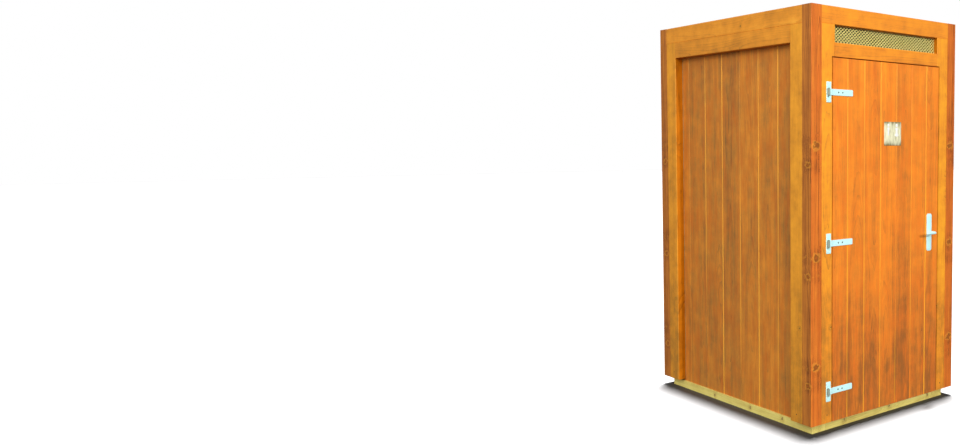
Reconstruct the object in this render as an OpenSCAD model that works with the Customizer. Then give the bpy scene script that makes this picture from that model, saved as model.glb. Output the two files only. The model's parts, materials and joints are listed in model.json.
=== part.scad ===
// Free-standing timber outhouse with one door.
// Four corner posts carry stile-and-rail frames. The left, right and back frames are lined
// with upright V-jointed boards, and the front frame holds the door with a vent over it.
// The whole cabin stands on a low base of pine beams, set in from the walls all round.
// +X is to the right seen from the front, the front faces -Y, +Z is up, and the ground is Z = 0
// with the origin in the middle of the plan.

/* [Cabin] */
// Width across the front, over the corner posts
cabin_w = 1168; // [1000:1:1600]
// Depth from front to back, over the corner posts
cabin_d = 1410; // [1150:1:2000]
// Height of the walls, from their lower edge to their top
wall_h = 2200; // [2120:1:2600]

/* [Wall frames] */
// Thickness of the stiles and rails
frame_t = 54; // [46:1:70]
// Face width of a stile
stile_w = 95; // [70:1:130]
// Face height of a top rail, and of the second rail under it
rail_h = 93; // [70:1:120]
// Height of the rail over the door, with its rebate
head_rail_h = 94; // [70:1:130]
// Cut on the outer edges of the posts, stiles and rails
ease = 2; // [0.5:0.5:4]

/* [Lining boards] */
// Thickness of the wall and roof boards
board_t = 18; // [14:1:25]
// Width that one wall board covers
wall_board_w = 169.5; // [110:0.5:200]
// Width of the first board, which stands against the back corner post
first_board_w = 161; // [80:1:180]
// Width of a V joint at its mouth
vee_w = 8; // [4:1:12]

/* [Base and floor] */
// Height of the base beams
base_h = 45; // [40:1:90]
// Face width of a base beam
beam_w = 95; // [70:1:140]
// How far the base stands in from the walls
base_in = 45; // [30:1:50]
// Height of the wall frames above the top of the base
frame_gap = 12; // [6:1:25]
// Thickness of the floor boards
floor_t = 21; // [18:1:32]
// Least width of a floor board
floor_board_w = 120; // [90:1:140]
// Gap between floor boards
floor_gap = 3; // [2:1:6]

/* [Roof] */
// Width of a roof joist
joist_w = 45; // [38:1:60]
// Height of a roof joist
joist_h = 70; // [60:1:85]

/* [Vent] */
// Height of the vent over the door
vent_h = 92; // [60:1:120]
// Thickness of the vent mesh
mesh_t = 1.5; // [1:0.5:3]
// Width of a mesh diamond
diamond_w = 23.2; // [18:0.1:40]
// Height of a mesh diamond
diamond_h = 18.4; // [15:0.1:30]
// Width of a mesh strand
strand_w = 3; // [2:0.5:4]

/* [Door] */
// Thickness of the door boards
door_t = 20; // [18:1:25]
// Width that one door board covers
door_board_w = 129; // [90:1:160]
// How far the door laps over the frame behind it
door_lap = 15; // [10:1:18]
// Gap round the edges of the door
edge_gap = 6; // [5:0.5:10]
// Gap between the door and the frame behind it
stop_gap = 5; // [5:0.5:8]
// Thickness of the ledges behind the door boards
ledge_t = 27; // [20:1:32]
// Height of a ledge
ledge_h = 95; // [70:1:130]
// Gap between the ends of the ledges and the stiles
ledge_gap = 10; // [8:1:20]
// Width of the lock block
block_w = 110; // [100:1:150]
// Height of the lock block
block_h = 260; // [240:1:300]

/* [Hinges] */
// Height of the lowest hinge above the foot of the door
hinge_low = 169; // [120:1:300]
// Depth of the highest hinge under the top of the door
hinge_top = 180; // [120:1:300]
// Distance from the hinge pin to the edge of the door
pin_off = 39; // [36:1:45]
// Distance from the hinge pin to the middle of its plate
plate_off = 8; // [0:1:9]
// Height of a hinge plate
plate_h = 107; // [80:1:140]
// Width of a hinge plate
plate_w = 33; // [28:1:36]
// Thickness of the hinge plates and bands
hinge_t = 3.5; // [3:0.5:5]
// Height of a hinge band
band_h = 33; // [25:1:50]
// Length of a hinge band from its pin
band_l = 184; // [120:1:300]
// Radius of a hinge pin
pin_r = 3.5; // [3:0.5:5]
// Play round a hinge pin
pin_play = 0.1; // [0.05:0.05:0.1]
// Clearance between a band and its plate
band_gap = 1; // [0.5:0.5:3]

/* [Handle] */
// Height of the lever above the foot of the door
lever_z = 968; // [900:1:1050]
// Distance from the lever's axis to the latch edge of the door
backset = 77; // [60:1:90]
// Height of a handle plate
handle_h = 220; // [160:1:250]
// Width of a handle plate
handle_w = 44; // [36:1:56]
// Thickness of a handle plate
handle_t = 3; // [2:0.5:5]
// Corner radius of a handle plate
handle_corner = 14; // [6:1:17]
// Distance from a handle plate to the middle of a lever's grip
grip_off = 52; // [40:1:60]
// Length of a lever from its axis
grip_l = 85; // [70:1:130]
// Radius of a lever's grip
grip_r = 8; // [6:0.5:9]
// Radius of the neck of a lever
neck_r = 8; // [6:0.5:10]
// Side of the square spindle
spindle_w = 8; // [7:1:9]
// Thickness of the lock plate and the strike plate
strike_t = 2.5; // [2:0.5:4]
// Distance of these two plates behind the front face of the frame's rebate
strike_in = 1; // [0:0.5:3]
// Width of the lock plate and the strike plate
strike_w = 18; // [14:1:20]
// Height of the lock plate and the strike plate
strike_h = 160; // [120:1:220]

/* [Sign] */
// Width of the sign plate
sign_w = 139; // [100:1:200]
// Height of the sign plate
sign_h = 132; // [100:1:200]
// Thickness of the sign plate
sign_t = 2; // [1:0.5:4]
// Depth of the sign's top edge under the top of the door
sign_top = 326; // [250:1:500]
// How far the middle of the sign is from the middle of the door
sign_x = 31.5; // [-60:0.5:60]

/* [Hidden] */

$fn = 48;
cut = 1;                            // how far a cutter reaches past what it cuts
post_w = frame_t + board_t;         // a post is as deep as a frame and its boards
wall_z = base_h + frame_gap;        // lower edge of the wall frames
top_z = wall_z + wall_h;
opening_w = cabin_w - 2 * (post_w + stile_w);
rail_z = top_z - rail_h;            // lower edge of the top rails
vent_z = rail_z - vent_h;           // sill of the vent
head_z = vent_z - head_rail_h;      // lower edge of the rail over the door
roof_z = top_z - board_t;           // underside of the roof boards
base_w = cabin_w - 2 * base_in;
base_d = cabin_d - 2 * base_in;
front_y = -cabin_d / 2;             // front face of the cabin and of the closed door
min_strip = 30;                     // narrowest board left at the end of a wall

door_w = opening_w + 2 * door_lap;
door_h = head_z + door_lap - wall_z;
door_left = -door_w / 2;
pin_x = door_left - pin_off;
eye_r = pin_r + pin_play + hinge_t;
pin_out = hinge_t + band_gap + eye_r; // from the door's face out to the pin's axis
ear_t = 4;                          // thickness of the two ears that hold a pin
ear_w = 12;
ear_play = 0.3;
hinge_high = door_h - hinge_top;
hinge_zs = [hinge_low, (hinge_low + hinge_high) / 2, hinge_high];
ledge_w = opening_w - 2 * ledge_gap;
lever_x = door_w / 2 - backset;
lever_play = 0.3;                   // play of the lever's neck in its plates
block_right = ledge_w / 2;          // latch edge of the lock block
block_z = wall_z + lever_z;

// A bar on its outer face y = 0, t deep, with the two edges of that face cut back.
module bar(w, t, run) {
    linear_extrude(run)
        polygon([[ease, 0], [w - ease, 0], [w, ease], [w, t], [0, t], [0, ease]]);
}

// The same bar laid along x, with its foot on z = 0.
module rail(run, h, t) {
    translate([0, 0, h]) rotate([0, 90, 0]) bar(h, t, run);
}

// Places of the joints in a row of boards: the first after one board, the rest a board apart.
function joints(run, first, pitch) = [for (x = first; x < run - min_strip; x = x + pitch) x];

// A row of V-jointed boards along x, t thick, upright, with the joints cut in both faces.
module board_row(run, t, h, at) {
    v = vee_w / 2;
    outer = [for (x = at) each [[x - v, 0], [x, v], [x + v, 0]]];
    inner = [for (i = [len(at) - 1 : -1 : 0]) each [[at[i] + v, t], [at[i], t - v], [at[i] - v, t]]];
    linear_extrude(h)
        polygon(concat([[0, 0]], outer, [[run, 0], [run, t]], inner, [[0, t]]));
}

// Joints of a row of boards that is centred on its wall.
function centred(run, pitch) =
    let (n = floor((run / 2 - min_strip) / pitch - 0.5))
    [for (i = [-n - 1 : n]) run / 2 + (i + 0.5) * pitch];

// Puts what is drawn with its outer face on y = 0, from x = 0, on one side of the cabin.
module on_front() { translate([-cabin_w / 2, front_y, 0]) children(); }
module on_back() { rotate([0, 0, 180]) on_front() children(); }
module on_right() { translate([cabin_w / 2, front_y, 0]) rotate([0, 0, 90]) children(); }
module on_left() { mirror([1, 0, 0]) on_right() children(); }

// --- base and floor ---

module base_side_beam() {
    color("#d8cd80") translate([-base_w / 2, -base_d / 2, 0]) cube([beam_w, base_d, base_h]);
}
module base_end_beam() {
    color("#d8cd80") translate([-base_w / 2 + beam_w, -base_d / 2, 0])
        cube([base_w - 2 * beam_w, beam_w, base_h]);
}
module base_left_beam() { base_side_beam(); }
module base_right_beam() { mirror([1, 0, 0]) base_side_beam(); }
module base_front_beam() { base_end_beam(); }
module base_back_beam() { mirror([0, 1, 0]) base_end_beam(); }
module base_middle_joist() {
    color("#d8cd80") translate([-beam_w / 2, -base_d / 2 + beam_w, 0])
        cube([beam_w, base_d - 2 * beam_w, base_h]);
}

// Boards laid from side to side. The first one has a tongue that fills the foot of the doorway.
module floor_boards() {
    room_w = cabin_w - 2 * post_w;
    room_d = cabin_d - post_w - frame_t;
    notch = post_w - frame_t;       // the front posts stand further in than the front frame
    count = floor((room_d + floor_gap) / (floor_board_w + floor_gap));
    pitch = (room_d + floor_gap) / count;
    sill_d = frame_t - door_t - stop_gap;
    color("#cfc48a") translate([-room_w / 2, front_y + frame_t, base_h]) {
        for (i = [0 : count - 1])
            translate([0, i * pitch, 0]) cube([room_w, pitch - floor_gap, floor_t]);
        translate([(room_w - opening_w) / 2, -sill_d, 0])
            cube([opening_w, sill_d + notch, floor_t]);
    }
}

// --- corner posts ---

// A post with its foot notched over the corner of the base.
module post() {
    heel = post_w - base_in;
    color("#c2753a") translate([-cabin_w / 2, front_y, 0]) {
        translate([0, 0, wall_z]) linear_extrude(wall_h)
            polygon([[ease, 0], [post_w, 0], [post_w, post_w], [0, post_w], [0, ease]]);
        translate([base_in, base_in, base_h]) cube([heel, heel, frame_gap + cut]);
    }
}
module post_front_left() { post(); }
module post_front_right() { mirror([1, 0, 0]) post(); }
module post_back_left() { mirror([0, 1, 0]) post(); }
module post_back_right() { rotate([0, 0, 180]) post(); }

// --- front frame with the vent ---

// The room that the closed door needs in the frame, with its gaps.
module door_room() {
    w = door_w + 2 * edge_gap;
    translate([-w / 2, front_y - cut, wall_z - cut])
        cube([w, door_t + stop_gap + cut, door_h + edge_gap + cut]);
}
module hinge_stile() {
    color("#e6a24c") difference() {
        on_front() translate([post_w, 0, wall_z]) bar(stile_w, frame_t, wall_h - rail_h);
        door_room();
    }
}
module latch_stile() {
    color("#e6a24c") difference() {
        mirror([1, 0, 0]) on_front() translate([post_w, 0, wall_z])
            bar(stile_w, frame_t, wall_h - rail_h);
        door_room();
        translate([opening_w / 2 - cut, front_y + strike_y(), block_z - strike_h / 2])
            cube([strike_t + cut, strike_w, strike_h]);
    }
}
module front_top_rail() {
    color("#e6a24c") on_front() translate([post_w, 0, rail_z])
        rail(cabin_w - 2 * post_w, rail_h, frame_t);
}
module door_head_rail() {
    color("#e6a24c") difference() {
        on_front() translate([post_w + stile_w, 0, head_z]) rail(opening_w, head_rail_h, frame_t);
        door_room();
    }
}

// Expanded sheet: a plain sheet with rows of diamond holes, every other row half a hole along.
module vent_mesh() {
    across = floor(opening_w / diamond_w);
    rows = floor(vent_h / diamond_h);
    dx = opening_w / across / 2;
    dz = vent_h / rows / 2;
    k = strand_w / 2 * sqrt(1 / (dx * dx) + 1 / (dz * dz)); // share of a diamond that is strand
    holes = [for (j = [1 : 2 * rows - 1]) for (i = [1 : 2 * across - 1]) if ((i + j) % 2 == 0)
        each [[i * dx - dx * (1 - k), j * dz], [i * dx, j * dz - dz * (1 - k)],
              [i * dx + dx * (1 - k), j * dz], [i * dx, j * dz + dz * (1 - k)]]];
    edge = [[0, 0], [opening_w, 0], [opening_w, vent_h], [0, vent_h]];
    loops = [for (n = [0 : len(holes) / 4]) [for (m = [0 : 3]) 4 * n + m]];
    color("#b0a564") translate([-opening_w / 2, front_y + (frame_t - mesh_t) / 2, vent_z])
        mirror([0, 1, 0]) rotate([90, 0, 0]) linear_extrude(mesh_t)
            polygon(concat(edge, holes), loops);
}

// --- side and back walls ---

// Parts of a wall that is span long over its corner posts.
module wall_stiles(span) {
    color("#d99a4e") for (x = [post_w, span - post_w - stile_w])
        translate([x, 0, wall_z]) bar(stile_w, frame_t, wall_h - rail_h);
}
module wall_top_rail(span) {
    color("#d99a4e") translate([post_w, 0, rail_z]) rail(span - 2 * post_w, rail_h, frame_t);
}
module wall_second_rail(span) {
    color("#d99a4e") translate([post_w + stile_w, 0, rail_z - rail_h])
        rail(span - 2 * (post_w + stile_w), rail_h, frame_t);
}
module wall_boards(span) {
    run = span - 2 * post_w;
    at = [for (x = joints(run, first_board_w, wall_board_w)) run - x];
    color("#b87840") translate([post_w, frame_t, base_h])
        board_row(run, board_t, roof_z - base_h, [for (i = [len(at) - 1 : -1 : 0]) at[i]]);
}
module left_stiles() { on_left() wall_stiles(cabin_d); }
module left_top_rail() { on_left() wall_top_rail(cabin_d); }
module left_second_rail() { on_left() wall_second_rail(cabin_d); }
module left_boards() { on_left() wall_boards(cabin_d); }
module right_stiles() { on_right() wall_stiles(cabin_d); }
module right_top_rail() { on_right() wall_top_rail(cabin_d); }
module right_second_rail() { on_right() wall_second_rail(cabin_d); }
module right_boards() { on_right() wall_boards(cabin_d); }
module back_stiles() { on_back() wall_stiles(cabin_w); }
module back_top_rail() { on_back() wall_top_rail(cabin_w); }
module back_second_rail() { on_back() wall_second_rail(cabin_w); }
module back_boards() { on_back() wall_boards(cabin_w); }

// --- roof ---

// Boards from front to back inside the frames, notched round the posts.
module roof_boards() {
    w = cabin_w - 2 * frame_t;
    d = cabin_d - 2 * frame_t;
    color("#b87840") difference() {
        translate([-w / 2, d / 2, roof_z]) rotate([90, 0, 0])
            linear_extrude(d) roof_profile(w);
        for (sx = [-1, 1]) for (sy = [-1, 1])
            translate([sx * cabin_w / 2, sy * cabin_d / 2, roof_z])
                cube([2 * post_w, 2 * post_w, 4 * board_t], center = true);
    }
}
module roof_profile(w) {
    v = vee_w / 2;
    at = centred(w, wall_board_w);
    top = [for (i = [len(at) - 1 : -1 : 0])
        each [[at[i] + v, board_t], [at[i], board_t - v], [at[i] - v, board_t]]];
    polygon(concat([[0, 0], [w, 0], [w, board_t]], top, [[0, board_t]]));
}
module roof_joists() {
    span = cabin_w - 2 * post_w;
    inner_d = cabin_d - 2 * post_w - joist_w;
    color("#cfc48a") for (i = [0 : 2])
        translate([-span / 2, front_y + post_w + i * inner_d / 2, roof_z - joist_h])
            cube([span, joist_w, joist_h]);
}

// --- door ---

module door_boards() {
    color("#cf7a3a") difference() {
        translate([door_left, front_y, wall_z])
            board_row(door_w, door_t, door_h, centred(door_w, door_board_w));
        spindle_bore();
    }
}
module door_ledges() {
    color("#cf7a3a") for (z = hinge_zs) {
        run = z == hinge_zs[1] ? ledge_w - block_w : ledge_w;
        translate([-ledge_w / 2, front_y + door_t, wall_z + z - ledge_h / 2])
            cube([run, ledge_t, ledge_h]);
    }
}
module lock_block() {
    color("#cf7a3a") difference() {
        translate([block_right - block_w, front_y + door_t, block_z - block_h / 2])
            cube([block_w, ledge_t, block_h]);
        translate([block_right - strike_t, front_y + strike_y(), block_z - strike_h / 2])
            cube([strike_t + cut, strike_w, strike_h]);
        spindle_bore();
    }
}

// How far behind the front face the lock plate and the strike plate begin.
function strike_y() = door_t + stop_gap + strike_in;

module lock_plate() {
    color("#c9cbc8") translate([block_right - strike_t, front_y + strike_y(), block_z - strike_h / 2])
        cube([strike_t, strike_w, strike_h]);
}
module strike_plate() {
    color("#c9cbc8") translate([opening_w / 2, front_y + strike_y(), block_z - strike_h / 2])
        cube([strike_t, strike_w, strike_h]);
}

// --- hinges ---

// Puts what is drawn round a pin on z at each hinge, with the door's face at y = pin_out.
module at_hinges() {
    for (z = hinge_zs) translate([pin_x, front_y - pin_out, wall_z + z]) children();
}

// Plate on the stile, with two ears that hold the pin above and below the band's eye.
module hinge_plates() {
    color("#dfe6e4") at_hinges() {
        translate([plate_off - plate_w / 2, pin_out - hinge_t, -plate_h / 2])
            cube([plate_w, hinge_t, plate_h]);
        for (s = [-1, 1]) translate([0, 0, s * (band_h / 2 + ear_play + ear_t / 2)]) {
            translate([-ear_w / 2, 0, -ear_t / 2]) cube([ear_w, pin_out - hinge_t, ear_t]);
            cylinder(h = ear_t, r = ear_w / 2, center = true);
        }
        cylinder(h = band_h + 2 * ear_play + ear_t, r = pin_r, center = true);
    }
}

// Band rolled round the pin. It steps back past the plate to lie on the door.
module hinge_bands() {
    near = eye_r - hinge_t;
    step_x = plate_off + plate_w / 2 + 2;
    face_x = pin_off - 2;
    color("#dfe6e4") at_hinges() translate([0, 0, -band_h / 2]) difference() {
        union() {
            cylinder(h = band_h, r = eye_r);
            linear_extrude(band_h) polygon([[0, near], [step_x, near],
                [face_x, pin_out - hinge_t], [band_l, pin_out - hinge_t], [band_l, pin_out],
                [face_x, pin_out], [step_x, eye_r], [0, eye_r]]);
        }
        translate([0, 0, -cut]) cylinder(h = band_h + 2 * cut, r = pin_r + pin_play);
    }
}

// --- handle and sign ---

// Puts what is drawn round the lever's axis, which runs along y, with the door's face at y = 0.
module at_lever() {
    translate([lever_x, front_y, block_z]) children();
}
module along_y(r, from, to) {
    translate([0, from, 0]) rotate([-90, 0, 0]) cylinder(h = to - from, r = r);
}
module spindle_bore() {
    at_lever() along_y(neck_r + 2, -cut, door_t + ledge_t + cut);
}
leaf_t = door_t + ledge_t;          // thickness of the door at its lock block

// A plate with rounded corners, and a bore for the lever's neck.
module handle_plate() {
    x = handle_w / 2 - handle_corner;
    z = handle_h / 2 - handle_corner;
    difference() {
        union() {
            translate([-x, 0, -handle_h / 2]) cube([2 * x, handle_t, handle_h]);
            translate([-handle_w / 2, 0, -z]) cube([handle_w, handle_t, 2 * z]);
            for (sx = [-1, 1]) for (sz = [-1, 1])
                translate([sx * x, 0, sz * z]) along_y(handle_corner, 0, handle_t);
        }
        along_y(neck_r + lever_play, -cut, handle_t + cut);
    }
}
module handle_plates() {
    color("#cfd4d2") at_lever() {
        translate([0, -handle_t, 0]) handle_plate();
        translate([0, leaf_t, 0]) handle_plate();
    }
}

// A neck that stands on the door's face y = 0 and a round grip that points towards the hinges.
module lever(out) {
    reach = handle_t + grip_off;
    along_y(neck_r, out < 0 ? -reach : 0, out < 0 ? 0 : reach);
    translate([0, out * reach, 0]) {
        sphere(r = neck_r);
        rotate([0, -90, 0]) cylinder(h = grip_l - grip_r, r = grip_r);
        translate([grip_r - grip_l, 0, 0]) sphere(r = grip_r);
    }
}
module outer_lever() { color("#cfd4d2") at_lever() lever(-1); }
module inner_lever() { color("#cfd4d2") at_lever() translate([0, leaf_t, 0]) lever(1); }
module lever_spindle() {
    color("#8d9290") at_lever()
        translate([-spindle_w / 2, 0, -spindle_w / 2]) cube([spindle_w, leaf_t, spindle_w]);
}
module sign_plate() {
    color("#d9d4b0") translate([sign_x - sign_w / 2, front_y - sign_t,
        wall_z + door_h - sign_top - sign_h]) cube([sign_w, sign_t, sign_h]);
}

base_left_beam();
base_right_beam();
base_front_beam();
base_back_beam();
base_middle_joist();
floor_boards();
post_front_left();
post_front_right();
post_back_left();
post_back_right();
hinge_stile();
latch_stile();
front_top_rail();
door_head_rail();
vent_mesh();
left_stiles();
left_top_rail();
left_second_rail();
left_boards();
right_stiles();
right_top_rail();
right_second_rail();
right_boards();
back_stiles();
back_top_rail();
back_second_rail();
back_boards();
roof_boards();
roof_joists();
hinge_plates();
strike_plate();
door_boards();
door_ledges();
lock_block();
lock_plate();
hinge_bands();
handle_plates();
sign_plate();
outer_lever();
inner_lever();
lever_spindle();
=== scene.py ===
# A timber outhouse: an inset base, four posts with stile-and-rail frames between them, V-jointed
# lining boards, a boarded roof, a mesh vent over the door, and a ledged door with its fittings.
import json
import math

import bmesh
import bpy
import numpy as np
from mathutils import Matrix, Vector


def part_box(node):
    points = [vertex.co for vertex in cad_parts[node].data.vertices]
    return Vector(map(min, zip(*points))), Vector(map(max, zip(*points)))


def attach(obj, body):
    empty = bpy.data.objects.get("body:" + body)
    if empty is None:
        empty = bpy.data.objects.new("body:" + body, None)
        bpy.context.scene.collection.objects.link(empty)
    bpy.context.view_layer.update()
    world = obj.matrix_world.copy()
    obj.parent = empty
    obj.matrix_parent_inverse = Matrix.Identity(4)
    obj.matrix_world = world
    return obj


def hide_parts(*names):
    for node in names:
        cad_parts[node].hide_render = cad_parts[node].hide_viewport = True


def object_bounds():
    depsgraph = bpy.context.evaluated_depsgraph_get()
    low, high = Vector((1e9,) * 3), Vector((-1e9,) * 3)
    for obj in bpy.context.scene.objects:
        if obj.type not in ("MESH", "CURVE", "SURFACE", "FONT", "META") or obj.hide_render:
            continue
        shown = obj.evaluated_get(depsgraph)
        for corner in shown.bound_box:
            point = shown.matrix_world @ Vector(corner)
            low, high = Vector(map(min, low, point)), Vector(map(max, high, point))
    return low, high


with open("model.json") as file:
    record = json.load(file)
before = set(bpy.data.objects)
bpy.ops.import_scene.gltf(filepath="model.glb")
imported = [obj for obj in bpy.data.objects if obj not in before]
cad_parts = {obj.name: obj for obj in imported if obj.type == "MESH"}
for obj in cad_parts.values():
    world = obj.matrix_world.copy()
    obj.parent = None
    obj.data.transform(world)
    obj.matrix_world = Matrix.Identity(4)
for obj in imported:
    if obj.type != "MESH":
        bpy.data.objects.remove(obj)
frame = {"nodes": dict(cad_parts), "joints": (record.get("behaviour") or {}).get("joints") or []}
cad_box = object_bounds()
MM = 0.001

# --- the view and the light ---
# The cabin stands alone on a white studio floor. A far lamp nearly square to the front draws the
# short shadows, and three wide soft boxes light the sides and the back. None of these reaches the
# floor, where a lamp nearly overhead leaves a soft shadow by the base. A weak one lies in the cabin.

camera = bpy.data.objects.new("camera", bpy.data.cameras.new("camera"))
bpy.context.scene.collection.objects.link(camera)
bpy.context.scene.camera = camera
camera.location = (-3.550, -3.956, 1.534)
camera.rotation_euler = (math.radians(90 - 4.16), 0, math.radians(-42.35))
camera.data.sensor_width = 36
camera.data.lens = 32.1
camera.data.shift_x = -0.3448
camera.data.shift_y = -0.0151
bpy.context.scene.view_settings.view_transform = "Standard"


def paint(code):
    """A linear colour from an sRGB hex code: c / 12.92 below 0.04045, else ((c + 0.055) / 1.055) ^ 2.4."""
    c = np.array([int(code[i:i + 2], 16) for i in (1, 3, 5)]) / 255
    linear = np.where(c < 0.04045, c / 12.92, ((c + 0.055) / 1.055) ** 2.4)
    return (*linear.tolist(), 1.0)


def add(tree, kind, links=None, stops=(), **settings):
    """Adds a node and returns its outputs. Links are values or sockets by input, stops a ramp's colours."""
    made = tree.nodes.new("ShaderNode" + kind)
    for key, value in settings.items():
        setattr(made, key, value)
    for key, value in (links or {}).items():
        if isinstance(value, bpy.types.NodeSocket):
            tree.links.new(value, made.inputs[key])
        else:
            made.inputs[key].default_value = value
    for i, (place, colour) in enumerate(stops):
        stop = made.color_ramp.elements[i] if i < 2 else made.color_ramp.elements.new(place)
        stop.position = place
        stop.color = colour
    return made.outputs


def material(name):
    """An empty node material."""
    made = bpy.data.materials.new(name)
    made.use_nodes = True
    made.node_tree.nodes.clear()
    return made, made.node_tree


def surface(tree, links):
    """The closing Principled shader with its output."""
    shader = add(tree, "BsdfPrincipled", links)
    add(tree, "OutputMaterial", {"Surface": shader[0]})


def soft_box(name, azimuth, elevation, distance, size, power, colour="#ffffff"):
    """A square area lamp aimed at the middle of the cabin. Azimuth 0 is its front, and 90 its left."""
    middle = (cad_box[0] + cad_box[1]) / 2
    a, e = math.radians(azimuth), math.radians(elevation)
    out = np.array([-math.sin(a) * math.cos(e), -math.cos(a) * math.cos(e), math.sin(e)])
    lamp = bpy.data.objects.new(name, bpy.data.lights.new(name, "AREA"))
    bpy.context.scene.collection.objects.link(lamp)
    lamp.location = np.array(middle) + distance * out
    lamp.rotation_euler = (middle - lamp.location).to_track_quat("-Z", "Y").to_euler()
    lamp.data.size = size
    lamp.data.energy = power
    lamp.data.color = paint(colour)[:3]
    return lamp


floor_mesh = bpy.data.meshes.new("studio_floor")
floor_mesh.from_pydata([(-40, -40, 0), (40, -40, 0), (40, 40, 0), (-40, 40, 0)], [], [(0, 1, 2, 3)])
studio_floor = bpy.data.objects.new("studio_floor", floor_mesh)
bpy.context.scene.collection.objects.link(studio_floor)
white_floor, tree = material("white_floor")
surface(tree, {"Base Color": paint("#7c7c7c"), "Roughness": 1.0, "Specular IOR Level": 0.0})
floor_mesh.materials.append(white_floor)
studio_floor.visible_diffuse = False
studio_floor.visible_glossy = False

front_box = soft_box("front_box", azimuth=30, elevation=28, distance=9, size=5, power=385)
left_box = soft_box("left_box", azimuth=82, elevation=20, distance=9, size=5, power=330)
back_box = soft_box("back_box", azimuth=215, elevation=25, distance=9, size=6, power=560)


def sun(name, azimuth, elevation, strength, spread):
    """A far lamp: spread is the angle that it fills, in degrees, and sets how soft its shadows are."""
    lamp = bpy.data.objects.new(name, bpy.data.lights.new(name, "SUN"))
    bpy.context.scene.collection.objects.link(lamp)
    lamp.rotation_euler = (math.radians(90 - elevation), 0, -math.radians(azimuth))
    lamp.data.energy = strength
    lamp.data.angle = math.radians(spread)
    return lamp


front_sun = sun("front_sun", azimuth=1.45, elevation=20, strength=1.4, spread=0.7)
floor_sun = sun("floor_sun", azimuth=232, elevation=87.1, strength=22.0, spread=4.4)
room_lamp = soft_box("room_lamp", azimuth=0, elevation=0, distance=0, size=0.8, power=0.36,
                     colour="#e8f4ea")
room_lamp.location = (0, 0, 0.15)
room_lamp.rotation_euler = (math.pi, 0, 0)

only_floor = bpy.data.collections.new("only_floor")
only_floor.objects.link(studio_floor)
floor_sun.light_linking.receiver_collection = only_floor
no_floor = bpy.data.collections.new("no_floor")
no_floor.objects.link(studio_floor)
no_floor.collection_objects[0].light_linking.link_state = "EXCLUDE"
for lamp in (front_box, left_box, back_box, front_sun):
    lamp.light_linking.receiver_collection = no_floor

world = bpy.data.worlds.new("studio")
bpy.context.scene.world = world
world.use_nodes = True
tree = world.node_tree
tree.nodes.clear()
up = add(tree, "SeparateXYZ", {0: add(tree, "TexCoord")["Generated"]})["Z"]
sky = add(tree, "MapRange", {"Value": up, "From Min": -0.3, "From Max": 0.4, "To Min": 0.14,
                             "To Max": 0.36})[0]
fill = add(tree, "Background", {"Color": paint("#ffffff"), "Strength": sky})[0]
seen = add(tree, "Background", {"Color": paint("#ffffff"), "Strength": 1.0})[0]
to_camera = add(tree, "LightPath")["Is Camera Ray"]
add(tree, "OutputWorld", {0: add(tree, "MixShader", {0: to_camera, 1: fill, 2: seen})[0]})

# --- base ---
# Five sawn pine beams laid flat on the ground, pressure-treated to a pale green yellow. Two run
# from front to back, the others are nailed between them, and the floor lies on all five.


YEAR_W = 4.5 * MM


def drawn_out(tree, laid, scale, inputs):
    """A noise drawn out along the grain: scale is one over its size across, into and along the wood."""
    stretched = add(tree, "VectorMath", {0: laid, 1: scale}, operation="MULTIPLY")[0]
    return add(tree, "TexNoise", {"Vector": stretched, "Scale": 1.0, **inputs})[0]


def knot_distance(tree, place, grain, knots):
    """The distance from the nearest knot in its own radii, stretched along the grain and made uneven."""
    nearest = None
    for axis, centre, radius in knots:
        squeeze = [1.0 / radius] * 3
        squeeze["XYZ".index(grain)] = 1.2 / radius
        squeeze["XYZ".index(axis)] = 0.0
        scaled = add(tree, "VectorMath", {0: place, 1: squeeze}, operation="MULTIPLY")[0]
        seat = [c * k for c, k in zip(centre, squeeze)]
        away = add(tree, "VectorMath", {0: scaled, 1: seat}, operation="DISTANCE")["Value"]
        if nearest is not None:
            away = add(tree, "Math", {0: nearest, 1: away}, operation="MINIMUM")[0]
        nearest = away
    rag = add(tree, "TexNoise", {"Vector": place, "Scale": 48.0, "Detail": 4.0, "Roughness": 0.7})[0]
    nearest = add(tree, "Math", {0: rag, 1: 3.8, 2: nearest}, operation="MULTIPLY_ADD")[0]
    return add(tree, "Math", {0: nearest, 1: 1.8}, operation="SUBTRACT")[0]


def late_wood(tree, laid, off_u, off_v):
    """The dark late wood of each year ring, from 0 to 1.

    It is f ^ 2.2 times a random share for the year, where f is the fraction of the distance from the
    pith, made wavy, over the width of a year.
    """
    wave = drawn_out(tree, laid, (26.0, 26.0, 3.0), {"Detail": 2.0})
    from_pith = add(tree, "CombineXYZ", {0: off_u, 1: off_v})[0]
    from_pith = add(tree, "VectorMath", {0: from_pith}, operation="LENGTH")["Value"]
    from_pith = add(tree, "Math", {0: wave, 1: 0.012, 2: from_pith}, operation="MULTIPLY_ADD")[0]
    years = add(tree, "Math", {0: from_pith, 1: YEAR_W}, operation="DIVIDE")[0]
    late = add(tree, "Math", {0: years}, operation="FRACT")[0]
    late = add(tree, "Math", {0: late, 1: 2.2}, operation="POWER")[0]
    year = add(tree, "Math", {0: years}, operation="FLOOR")[0]
    good_year = add(tree, "TexWhiteNoise", {1: year}, noise_dimensions="1D")[0]
    return add(tree, "Math", {0: late, 1: good_year}, operation="MULTIPLY")[0]


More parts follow.
